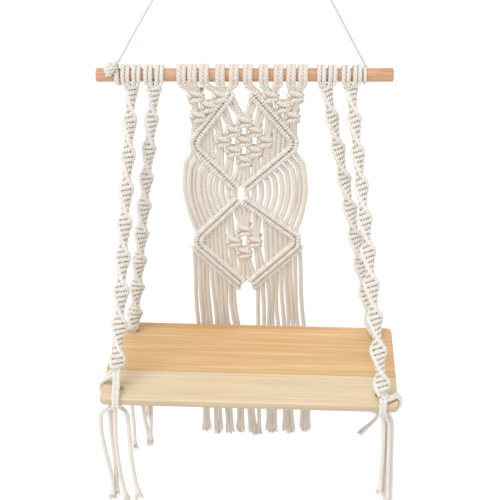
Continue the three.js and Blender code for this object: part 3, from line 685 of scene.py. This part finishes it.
def strap_foot(strap):
    """Where the sinnet ends: in its hole, or where a front strap parts."""
    if strap["foot"] == "back":
        return on_board(*knot_place(strap), STRAP_FOOT["over_hole"])
    return on_board(strap["side"] * (BOARD["length"] / 2 - strap["pass"]),
                    -BOARD["depth"] / 2 + strap["split"] * STRAP_FOOT["lean"], strap["split"])


def strap_axes(strap):
    """The strap's top, the directions down it, across it and through it, and its length."""
    top = np.array([strap["rod_x"], -STRAP_TOP["front"], ROD["z"] - STRAP_TOP["drop"]])
    foot = strap_foot(strap)
    length = np.linalg.norm(foot - top)
    along = (foot - top) / length
    depth = np.array([0, 1, 0]) - along[1] * along
    depth /= np.linalg.norm(depth)
    return top, along, np.cross(depth, along), depth, length


def spiral_turn(strap, run):
    """The sinnet's turn at a distance down the strap, slowest just below each place where it is broad."""
    turns = (run - strap["bulge"]) / strap["pitch"]
    return math.pi * (turns + HALF_KNOT["linger"] * math.cos(math.pi * turns) ** 2)


def sinnet_point(strap, axes, run, u, v):
    """A point of the spiral: run is the distance down the strap, u across its broad side and v through it."""
    top, along, width, depth, _ = axes
    c, s = math.cos(-spiral_turn(strap, run)), math.sin(-spiral_turn(strap, run))
    return top + along * run + width * (u * c - v * s) + depth * (u * s + v * c)


def half_width(strap, run, length):
    """How far the working cords reach from the core, a little more where the broad side faces the front."""
    broad = math.cos(2 * spiral_turn(strap, run))
    wide = HALF_KNOT["wide_top"] + (HALF_KNOT["wide_foot"] - HALF_KNOT["wide_top"]) * max(run, 0) / length
    return wide * (1 + HALF_KNOT["rhythm"] * broad)


def working_cord(strap, axes, first):
    """One of the two outer cords, which passes in front of the core and behind it by turns."""
    length, height = axes[4], HALF_KNOT["height"]
    points = []
    for k in range(int((length - HALF_KNOT["last"] - HALF_KNOT["first"]) / height)):
        run = HALF_KNOT["first"] + (k + 0.5) * height
        wide = half_width(strap, run, length)
        front = (k + first) % 2 == 0
        sign = 1 if front else -1
        late = 0 if front else HALF_KNOT["late"]
        for across, through, when in HALF_KNOT_WAY:
            points.append(sinnet_point(
                strap, axes, run + (when + late) * height, sign * across * wide,
                sign * through * HALF_KNOT["thick"]))
    return np.array(points)


def sinnet_edge(strap, axes, side):
    """The chain of loops down one edge of the sinnet, where its working cords turn back."""
    runs = np.arange(HALF_KNOT["first"] + EDGE["first"], axes[4] - HALF_KNOT["last"], EDGE["step"])
    return drawn([sinnet_point(strap, axes, run, side * (half_width(strap, run, axes[4]) + EDGE["out"]), 0)
                  for run in runs], softness=1.2)


def core_cord(strap, axes, offset, step=4):
    """One of the two cords inside the sinnet, which turn with it."""
    runs = np.arange(HALF_KNOT["first"], axes[4] + 1, step)
    return np.array([sinnet_point(strap, axes, run, offset, 0) for run in runs])


def strap_routes(strap):
    """The strap's four lark's head legs down to its first knot, its knotted cords and its two edges."""
    axes = strap_axes(strap)
    x, shift, leg = strap["rod_x"], strap["shift"], HEAD["leg"]
    legs, cords = [], []
    for middle, at, kind, place in (
        (x - shift, x - shift - leg, "working", 1), (x - shift, x - shift + leg, "core", 1),
        (x + shift, x + shift - leg, "core", -1), (x + shift, x + shift + leg, "working", 0),
    ):
        falling = [(at + (x - at) * 0.15, -11.4, ROD["z"] - 8), (x + (at - x) * 0.55, -9, ROD["z"] - 13)]
        legs.append(drawn(np.vstack([head_leg(at, middle), falling]), softness=1.1))
        if kind == "working":
            cords.append(drawn(working_cord(strap, axes, place), softness=0.9))
        else:
            cords.append(drawn(core_cord(strap, axes, HALF_KNOT["core"] * place), softness=0.9))
    return legs, cords, [sinnet_edge(strap, axes, side) for side in (-1, 1)]


def edge_routes(strap):
    """The cord pairs of a front strap that pass over the board's front edge and over its end."""
    side, foot = strap["side"], strap["split"]
    skin = CORD / 2 + 0.5
    low = -BOARD["thickness"]
    under = low - skin
    front = -BOARD["depth"] / 2
    end = side * BOARD["length"] / 2
    go = end - side * strap["pass"]
    parted = front + foot * STRAP_FOOT["lean"] + 2
    over_end = front + strap["over_end"]
    knot_x, knot_y = knot_place(strap)
    routes = []
    for offset in (-PAIR, PAIR):
        routes.append(drawn([
            on_board(go + offset, parted, foot + 5),
            on_board(go + offset, front + foot * 0.4, foot * 0.55 + 1),
            on_board(go + offset, front - 1.0, skin + 1.5), on_board(go + offset, front - skin, -1),
            on_board(go + offset, front - skin, low + 1), on_board(go + offset, front - 1, under),
            on_board(knot_x + offset, knot_y, under - 1), on_board(knot_x + offset, knot_y, under - 6),
        ], softness=1.6))
        routes.append(drawn([
            on_board(go + side * 1.5, parted + offset, foot + 5),
            on_board(go + side * (6 + offset * 0.8), front + foot * 0.8 + offset * 1.4, foot * 0.8),
            on_board(end - side * 1.5, over_end + offset, skin + 1.5),
            on_board(end + side * skin, over_end + offset, -1),
            on_board(end + side * skin, over_end + offset, low + 1),
            on_board(end - side, over_end - 1.5 + offset, under),
            on_board(knot_x + offset, knot_y + 3, under - 1), on_board(knot_x + offset, knot_y, under - 6),
        ], softness=1.6))
    return routes


def hole_routes(strap):
    """The four cords of a back strap, squeezed through its hole."""
    x, y = knot_place(strap)
    low = -BOARD["thickness"]
    routes = []
    for i in range(4):
        u, v = math.cos(math.tau * (i + 0.5) / 4), math.sin(math.tau * (i + 0.5) / 4)
        routes.append(drawn([
            on_board(x + u * 3.2, y + v * 3.2, 10), on_board(x + u * 2.7, y + v * 2.7, 2),
            on_board(x + u * 2.7, y + v * 2.7, low), on_board(x + u * 3, y + v * 3, low - 8),
        ], softness=1.5))
    return routes


def wrap_knot(centre, radius, height, turns, tilt, start=0.0, taper=0.9, flat=0.85, turn_points=20):
    """A cord wound tightly around the others: the round body of a knot, a little flat in depth."""
    angles = np.linspace(start, start + math.tau * turns, int(turns * turn_points))
    shares = np.linspace(-0.5, 0.5, len(angles))
    bulge = radius * (1 - taper * shares ** 2)
    points = np.column_stack([
        bulge * np.cos(angles), bulge * flat * np.sin(angles), -shares * height + np.cos(angles) * tilt])
    return drawn(points + centre, softness=0.9)


for label, strap in STRAPS.items():
    legs, cords, edges = strap_routes(strap)
    if strap["foot"] == "front":
        legs += edge_routes(strap)
    else:
        cords += hole_routes(strap)
        cords.append(wrap_knot(
            strap_foot(strap) + np.array([0, 0, STRAP_FOOT["wrap"]]), radius=6.4, height=9.5, turns=2.6,
            tilt=1.6))
    name = "strap_" + label
    for piece in (
        cord_piece(name + "_heads", legs, HEAD["cord"], lay=HEAD["lay"], step=HEAD["step"], bleach_and_painted_light=0.8),
        cord_piece(name + "_knots", cords, HALF_KNOT["cord"], lay=HALF_KNOT["lay"], step=1.8, bleach_and_painted_light=0.8),
        cord_piece(name + "_edges", edges, EDGE["cord"], lay=EDGE["lay"], step=1.4, bleach_and_painted_light=0.85),
    ):
        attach(piece, "root")
        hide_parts("strap_" + label)


# Tails: under the board each strap is tied in a round knot, and its four cord ends hang free, cut at unlike
# lengths, with their plies opened and frayed at the tips.
TAILS_FROM_END = {"front": 22.5, "back": HOLE["from_end"]}
# For each cord end: where it leaves the knot, its places along the board at the shares of its fall that
# TAIL_HEIGHTS gives, measured from TAILS_FROM_END, and the fall below the board's top
TAIL_HEIGHTS = (0.16, 0.38, 0.62, 0.85, 1)
TAILS = {
    "front_left": [(-5, (-24, -24, -19, -12.5, -14), 170), (-2, (-11, -11.5, -8.5, -8, -9), 168),
                   (1, (-3, -5, -3.5, 0, 4.5), 174), (4, (12, 13.3, 14, 17.5, 21.5), 172)],
    "front_right": [(-4, (4, 5.5, 6, 5.6, 5), 148), (-1, (8.2, 10, 11, 13.5, 14.5), 186),
                    (2, (12, 13.5, 15, 16.5, 17.5), 190), (5, (15.5, 17.5, 19, 20.5, 21.5), 182)],
    "back_left": [(-5, (-8, -9, -8.5, -6.2, -7.5), 203), (-2, (1, 4, 6.5, 10.5, 15.5), 196),
                  (2, (5, 9, 12.5, 14.5, 15), 142), (5, (11, 20, 21.5, 19, 16.3), 200)],
    "back_right": [(-5, (-8, -8, -7, -5, -3), 118), (-2, (2, 10, 14, 12, -10), 171),
                   (2, (8, 9, 8, 5, 3), 124), (5, (12, 16, 17, 12, 9), 112)],
}
# How far before and behind the knot's middle the ends hang by turns, and how far below the board that lies
# The tails are the straps' own cords, and their whiteness is set lower than the straps' as painted shade.
TAIL = {"cord": 6.4, "lay": 10.5, "step": 1.7, "flare": 18, "behind": 2.6, "knot_drop": 7.2, "bleach_and_painted_light": 0.4}
# A loose yarn: how far up the cord it starts and comes out, its reach from the cord's middle at those places
# and at the tip, and its last curl
YARN = {"thick": 1.1, "lay": 10, "step": 2.6, "start": 12, "out": 3, "reach": (2.6, 3.3, 3.2), "curl": 1.2}


def frayed_tip(tip, heading, chance, count=34, length=9, spread=0.5):
    """The brush of loose yarns at a cut end, which starts a little way up the cord."""
    inside, mouth, brush = YARN["reach"]
    yarns = []
    heading = heading / np.linalg.norm(heading)
    for _ in range(count):
        stray = np.array([chance.uniform(-1, 1) for _ in range(3)])
        stray -= heading * (stray @ heading)
        stray /= max(1, np.linalg.norm(stray))
        reach = length * chance.uniform(0.5, 1)
        curl = np.array([chance.uniform(-1, 1) for _ in range(3)]) * YARN["curl"]
        yarns.append(drawn([
            tip - heading * YARN["start"] + stray * inside, tip - heading * YARN["out"] + stray * mouth,
            tip + heading * reach * 0.5 + stray * (brush + spread * reach * 0.5),
            tip + heading * reach + stray * (brush + spread * reach) + curl], softness=1.6))
    return yarns


chance = random.Random(7)
for label, tails in TAILS.items():
    strap = STRAPS[label]
    foot_x = strap["side"] * (BOARD["length"] / 2 - TAILS_FROM_END[strap["foot"]])
    knot_x, knot_y = knot_place(strap)
    low = -BOARD["thickness"]
    middle = on_board(knot_x, knot_y, low - TAIL["knot_drop"])
    routes = [
        wrap_knot(middle, radius=6.2, height=9, turns=2.4, tilt=1.8),
        wrap_knot(middle, radius=5.4, height=6, turns=1.2, tilt=-3.2, start=2.0),
    ]
    yarns = []
    for i, (root, places, fall) in enumerate(tails):
        depth = knot_y + (TAIL["behind"] if i % 2 else -TAIL["behind"])
        points = [on_board(knot_x + root * 0.5, depth, low - 6), on_board(knot_x + root, depth, low - 14)]
        points += [on_board(foot_x + at, depth, -fall * share) for at, share in zip(places, TAIL_HEIGHTS)]
        route = drawn(points, softness=7)
        routes.append(route)
        yarns += frayed_tip(route[-1], route[-1] - route[-6], chance)
    ends = cord_piece(
        "tails_" + label + "_cords", routes, TAIL["cord"], lay=TAIL["lay"], step=TAIL["step"],
        flare=TAIL["flare"], bleach_and_painted_light=TAIL["bleach_and_painted_light"])
    fluff = cord_piece(
        "tails_" + label + "_fluff", yarns, YARN["thick"], lay=YARN["lay"], step=YARN["step"], sides=3,
        plies=1, bleach_and_painted_light=TAIL["bleach_and_painted_light"])
    for piece in (ends, fluff):
        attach(piece, "root")
        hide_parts("tails_" + label)


# Panel: twenty cords hung from the rod by ten lark's heads, tied in square knots and in double rows of half
# hitches that draw two diamonds, with the cords left long and swagged between them.
HEADS = (-83.5, -69.3, -53.9, -32.5, -14.3, 4, 25.2, 44.7, 61.4, 77.1)
PANEL = {
    "cords": 20, "cord": 7.3, "middle": -1, "pitch": 14.4, "top_pitch": 16.6, "top_shift": 2.5,
    "narrows": (40, 80), "front": -6, "leans_back": 7, "leans": (30, 110),
}
# Where a cord of the panel falls below its lark's head, a little drawn in towards the middle
FIRST_FALL = {"drawn_in": 0.985, "front": 11, "drop": 10}
# Each diamond's corners: their drops below the rod's axis and their places along it. Each of its upper bars
# starts further out by the top gap.
DIAMONDS = (
    {
        "top": 23, "side": 98, "bottom": 167,
        "top_x": -4, "top_gap": 10, "left": -68, "right": 66, "bottom_x": -6,
    },
    {
        "top": 185, "side": 249, "bottom": 319,
        "top_x": -6, "top_gap": 0, "left": -66, "right": 72, "bottom_x": 2,
    },
)
# Square knots: inside the diamonds each row's drop and number, and above the first one each knot's drop and
# the first of its pairs, counted from the panel's edge
KNOT_ROWS = ((65, 1), (80, 2), (95, 3), (110, 2), (125, 1), (233, 1), (251, 2), (269, 1))
CORNER_KNOTS = ((27, 0), (27, 2), (42, 1), (57, 0))
# A bar: how far its inner end lies from the diamond's corner, and its outer end above or below the side
# corner, how far apart its rows lie, how far beside it a cord of the panel passes as a share of that, the
# softness of the side corner, and how far it stands proud
BAR = {"inset": 5, "corner": 6.4, "rows_apart": 7.6, "crossed": 0.8, "softness": 2.6, "proud": 2.0}
# A half hitch: its reach across its holding cord and to the front and back of it, and the width that it takes
HITCH = {"high": 1.5, "deep": 4.2, "pitch": 4.8, "points": 16, "cord": 5.9, "lay": 34}
# A square knot: half its width, its reach in depth, its height, half the stretch on which its four cords run
# together, and their places there
SQUARE_KNOT = {
    "wide": 8.0, "thick": 4.2, "high": 16.5, "cord": 7.4, "lay": 12, "half": 5,
    "core": (-4.2, -1.7, 1.7, 4.2),
}
# The swag between the diamonds: how far its outermost cord swings out, how quickly that grows from cord to
# cord, how far the cords part in depth, and the shares of the way down with the share of the swing there
SWAG = {"swing": 19, "growth": 1.9, "depth": 1.6}
SWAG_WAY = ((0.16, 0.85), (0.32, 0.97), (0.48, 1), (0.64, 0.85), (0.8, 0.6))
# How much wider the cords are where nothing pulls on them, at which drop, and how far from it that fades
SLACK = {"more": 0.17, "drop": 172, "over": 28}


def smoothstep(value, low, high):
    """A share that rises gently from 0 at low to 1 at high."""
    share = min(max((value - low) / (high - low), 0), 1)
    return share * share * (3 - 2 * share)


def on_panel(x, drop, out=0.0):
    """A point given along the rod, below its axis and in front of the panel, which leans back as it falls."""
    depth = PANEL["front"] + PANEL["leans_back"] * smoothstep(drop, *PANEL["leans"])
    return np.array([x, depth - out, ROD["z"] - drop])


def bar_ends(diamond, side, part):
    """The inner and outer end of a bar's middle line. Part is 0 for an upper bar and 1 for a lower one."""
    outer_drop = diamond["side"] + (BAR["corner"] if part else -BAR["corner"])
    outer = on_panel(diamond["left"] if side < 0 else diamond["right"], outer_drop)
    if part:
        return on_panel(diamond["bottom_x"] + side * BAR["inset"], diamond["bottom"]), outer
    return on_panel(diamond["top_x"] + side * (BAR["inset"] + diamond["top_gap"]), diamond["top"]), outer


def bar_axes(diamond, side, part):
    """The directions along a bar, outwards, and up from it in the panel's face."""
    middle, outer = bar_ends(diamond, side, part)
    along = (outer - middle) / np.linalg.norm(outer - middle)
    above = np.cross(along, (0, -side, 0))
    above /= np.linalg.norm(above)
    return along, -above if above[2] < 0 else above


def side_and_rank(cord):
    """The side of the panel that a cord belongs to, and its rank from the middle outwards."""
    half = PANEL["cords"] // 2
    return (-1, half - 1 - cord) if cord < half else (1, cord - half)


def crossing(diamond, part, cord):
    """Where a cord crosses the middle line of a bar."""
    side, rank = side_and_rank(cord)
    middle, outer = bar_ends(diamond, side, part)
    return middle + (outer - middle) * (rank + 0.5) / (PANEL["cords"] // 2)


def across(path):
    """The directions across a route in the panel's face, at each of its points."""
    tangent = np.gradient(path, axis=0)
    sideways = np.column_stack([-tangent[:, 2], np.zeros(len(path)), tangent[:, 0]])
    return sideways / np.linalg.norm(sideways, axis=1)[:, None]


def bar_rows(diamond, side):
    """The holding cords of a double row, from the diamond's top around its side corner to its foot."""
    top, upper = bar_ends(diamond, side, 0)
    foot, lower = bar_ends(diamond, side, 1)
    middle = drawn([top, upper, lower, foot], BAR["softness"]) - np.array([0, BAR["proud"], 0])
    return [middle + across(middle) * (shift * BAR["rows_apart"] / 2) for shift in (-1, 1)]


def hitches(row):
    """Half hitches around a holding cord: each goes straight over its front, and on to the next behind it."""
    reach = run_along(row)
    sideways = across(row)
    count = round(reach[-1] / HITCH["pitch"])
    points = []
    for i in range(count * HITCH["points"]):
        turn = i / HITCH["points"]
        done = (int(turn) + smoothstep(turn % 1, 0.5, 1)) / count * reach[-1]
        centre = np.array([np.interp(done, reach, row[:, axis]) for axis in range(3)])
        up = np.array([np.interp(done, reach, sideways[:, axis]) for axis in range(3)])
        angle = turn * math.tau
        points.append(centre + up * math.cos(angle) * HITCH["high"]
                      + np.array([0, -1, 0]) * math.sin(angle) * HITCH["deep"])
    return drawn(points, softness=0.5, step=0.8)


def square_knot(x, drop):
    """The two working cords of a square knot, which loop around the core in front and behind."""
    wide, thick, high = SQUARE_KNOT["wide"], SQUARE_KNOT["thick"], SQUARE_KNOT["high"]
    near, far, out = wide * 0.7, wide * 0.85, wide + 0.7
    over = (
        (-wide, 0, -0.56), (-far, 0.7, -0.40), (-0.5, 1.12, -0.25), (far, 0.85, -0.20), (out, 0.2, -0.04),
        (out, -0.1, 0.06), (far, 0.85, 0.20), (0.5, 1.12, 0.25), (-far, 0.7, 0.40), (-wide, 0, 0.56),
    )
    loop = (
        (wide, 0, -0.56), (far, -0.7, -0.40), (0, -1.1, -0.25), (-near, -0.8, -0.20),
        (-out - 0.2, 0.5, -0.14), (-out, 1.0, 0), (-out - 0.2, 0.5, 0.14), (-near, -0.8, 0.20),
        (0, -1.1, 0.25), (far, -0.7, 0.40), (wide, 0, 0.56),
    )
    return [drawn([on_panel(x + u, drop + t * high, v * thick) for u, v, t in way], softness=0.7, step=0.8)
            for way in (over, loop)]


def knot_x(first, drop):
    """A square knot's place along the rod. The panel is a little wider and further right at the rod."""
    share = smoothstep(drop, *PANEL["narrows"])
    pitch = PANEL["top_pitch"] + (PANEL["pitch"] - PANEL["top_pitch"]) * share
    return PANEL["middle"] + (first + 1 - len(HEADS) / 2) * pitch + PANEL["top_shift"] * (1 - share)


def panel_knots():
    """Every square knot of the panel: the first of its two pairs, its drop and its place along the rod."""
    last = len(HEADS) - 2
    knots = []
    for drop, first in CORNER_KNOTS:
        knots += [(first, drop), (last - first, drop)]
    for drop, count in KNOT_ROWS:
        knots += [(len(HEADS) // 2 - count + 2 * i, drop) for i in range(count)]
    return [(first, drop, knot_x(first, drop)) for first, drop in knots]


def panel_route(cord, knots):
    """One cord's whole way from its lark's head to the panel's last double row."""
    pair = cord // 2
    side, rank = side_and_rank(cord)
    x = HEADS[pair] + (HEAD["leg"] if cord % 2 else -HEAD["leg"])
    below_head = np.array([x * FIRST_FALL["drawn_in"], -FIRST_FALL["front"], ROD["z"] - FIRST_FALL["drop"]])
    stations = [(0, [*head_leg(x, HEADS[pair]), below_head])]
    for first, drop, at in knots:
        if pair in (first, first + 1):
            inside = at + SQUARE_KNOT["core"][cord - 2 * first]
            half = SQUARE_KNOT["half"]
            stations.append((drop, [on_panel(inside, drop - half), on_panel(inside, drop + half)]))
    for diamond in DIAMONDS:
        for part in (0, 1):
            _, above = bar_axes(diamond, side, part)
            at = crossing(diamond, part, cord)
            step = above * BAR["rows_apart"] * BAR["crossed"]
            stations.append((ROD["z"] - at[2], [at + step, at - step]))
    start, finish = crossing(DIAMONDS[0], 1, cord), crossing(DIAMONDS[1], 0, cord)
    outward = rank / (PANEL["cords"] // 2 - 1)
    swing = side * SWAG["swing"] * (1 - (1 - outward) ** SWAG["growth"])
    for way, share in SWAG_WAY:
        at = start + (finish - start) * way
        at[0] += swing * share
        at[1] -= (SWAG["depth"] if cord % 2 else -SWAG["depth"]) * share * outward
        stations.append((ROD["z"] - at[2], [at]))
    stations.sort(key=lambda station: station[0])
    return drawn(np.vstack([np.array(points) for _, points in stations]), softness=1.2)


def slackened(route):
    """Between the diamonds nothing pulls on the cords, so their plies open and they lie closer together."""
    drop = ROD["z"] - route[:, 2]
    return 1 + SLACK["more"] * np.exp(-((drop - SLACK["drop"]) / SLACK["over"]) ** 2)


def bar_piece(name, rows):
    """Holding cords with their half hitches, pulled so tight that their plies show little. They are set
    whiter than the same cords in the rest of the panel, as painted light, and get little painted shade
    between their plies.
    """
    return cord_piece(
        name, rows + [hitches(row) for row in rows], HITCH["cord"], lay=HITCH["lay"], step=1.5, sides=5,
        bleach_and_painted_light=0.6, grooved=0.2)


knots = panel_knots()
panel_routes = [panel_route(cord, knots) for cord in range(PANEL["cords"])]
left_routes, right_routes = panel_routes[:PANEL["cords"] // 2], panel_routes[PANEL["cords"] // 2:]
rows = [row for diamond in DIAMONDS for side in (-1, 1) for row in bar_rows(diamond, side)]
loops = [loop for _, drop, at in knots for loop in square_knot(at, drop)]
for piece in (
    cord_piece("panel_left_cords", left_routes, PANEL["cord"], slack=slackened),
    cord_piece("panel_right_cords", right_routes, PANEL["cord"], slack=slackened),
    bar_piece("panel_bars", rows),
    cord_piece("panel_knots", loops, SQUARE_KNOT["cord"], lay=SQUARE_KNOT["lay"], step=1.5),
):
    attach(piece, "root")
    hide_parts("panel")


# Fringe: below one more row of hitches the panel's cords hang free behind the board, gathered in eight locks.
# Their ends are cut straight and fray, and no two cords fall quite alike.
FRINGE = {
    "below_bar": 10.8, "past_bar": 2, "half_tied": 3, "tips_from": -63.4, "tips_to": 101.4,
    "tip_spacing": 5.7, "tip_drop": 579, "tip_depth": 1, "cord": 6.7, "step": 2.2, "flare": 16,
}
# Locks from the left: the cords in each, how far below the mean it reaches, and how much shorter its cords
# are for each place from its middle
LOCKS = ((2, 0, 1), (2, 5, 1), (2, 4, 1), (2, 2, 1), (3, 8, 2), (3, 4, 2), (3, 5, 2), (3, 2, 2))
# Waves of a hanging cord: a slow one along the board, with its depth and how it changes from cord to cord,
# and small ones along it and through it, with their depth, their pace and how they shift from cord to cord
SLOW_WAVE = {"deep": 1.5, "change": 1.7}
SMALL_WAVES = {"along": (0.8, 17, 1), "through": (0.7, 13, 2.3)}
# A cord of the fringe is laid in so many places, between these shares of its fall.
FALL = {"first": 0.06, "last": 1, "places": 12}


def fringe_tip(cord):
    """Where a cord of the fringe ends, along the board and below the rod's axis."""
    spacing = (FRINGE["tips_to"] - FRINGE["tips_from"]) / (PANEL["cords"] - 1)
    first = 0
    for count, drop, slope in LOCKS:
        if cord < first + count:
            middle = first + (count - 1) / 2
            place = cord - middle
            x = FRINGE["tips_from"] + middle * spacing + place * FRINGE["tip_spacing"]
            return x, FRINGE["tip_drop"] + drop - abs(place) * slope
        first += count


def fringe_route(cord):
    """One cord from its hitch at the panel's foot to its tip."""
    side, _ = side_and_rank(cord)
    _, above = bar_axes(DIAMONDS[1], side, 1)
    at = crossing(DIAMONDS[1], 1, cord) - above * FRINGE["below_bar"]
    root = at - above * FRINGE["half_tied"]
    x, drop = fringe_tip(cord)
    fall = np.array([x, FRINGE["tip_depth"], ROD["z"] - drop]) - root
    points = [at + above * FRINGE["half_tied"], root]
    for share in np.linspace(FALL["first"], FALL["last"], FALL["places"]):
        slow = math.sin(cord * SLOW_WAVE["change"]) * SLOW_WAVE["deep"] * math.sin(share * math.tau)
        along, through = (deep * math.sin(share * pace + cord * shift)
                          for deep, pace, shift in SMALL_WAVES.values())
        straight = root + fall * np.array([smoothstep(share, 0, 1), share, share])
        points.append(straight + np.array([slow + along, through, 0]))
    return drawn(points, softness=3)


fringe_routes = [fringe_route(cord) for cord in range(PANEL["cords"])]
row_cords = []
for side in (-1, 1):
    middle, outer = bar_ends(DIAMONDS[1], side, 1)
    along, above = bar_axes(DIAMONDS[1], side, 1)
    past, below = along * FRINGE["past_bar"], above * FRINGE["below_bar"]
    row_cords.append(drawn([middle - past - below, outer + past - below], softness=2))
yarns = []
for route in fringe_routes:
    yarns += frayed_tip(route[-1], route[-1] - route[-6], chance, count=20, length=8, spread=0.25)
for piece in (
    cord_piece(
        "fringe_cords", fringe_routes, FRINGE["cord"], step=FRINGE["step"], sides=5, flare=FRINGE["flare"]),
    bar_piece("fringe_row", row_cords),
    cord_piece("fringe_fluff", yarns, YARN["thick"], lay=YARN["lay"], step=YARN["step"], sides=3, plies=1),
):
    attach(piece, "root")
    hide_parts("panel_fringe")
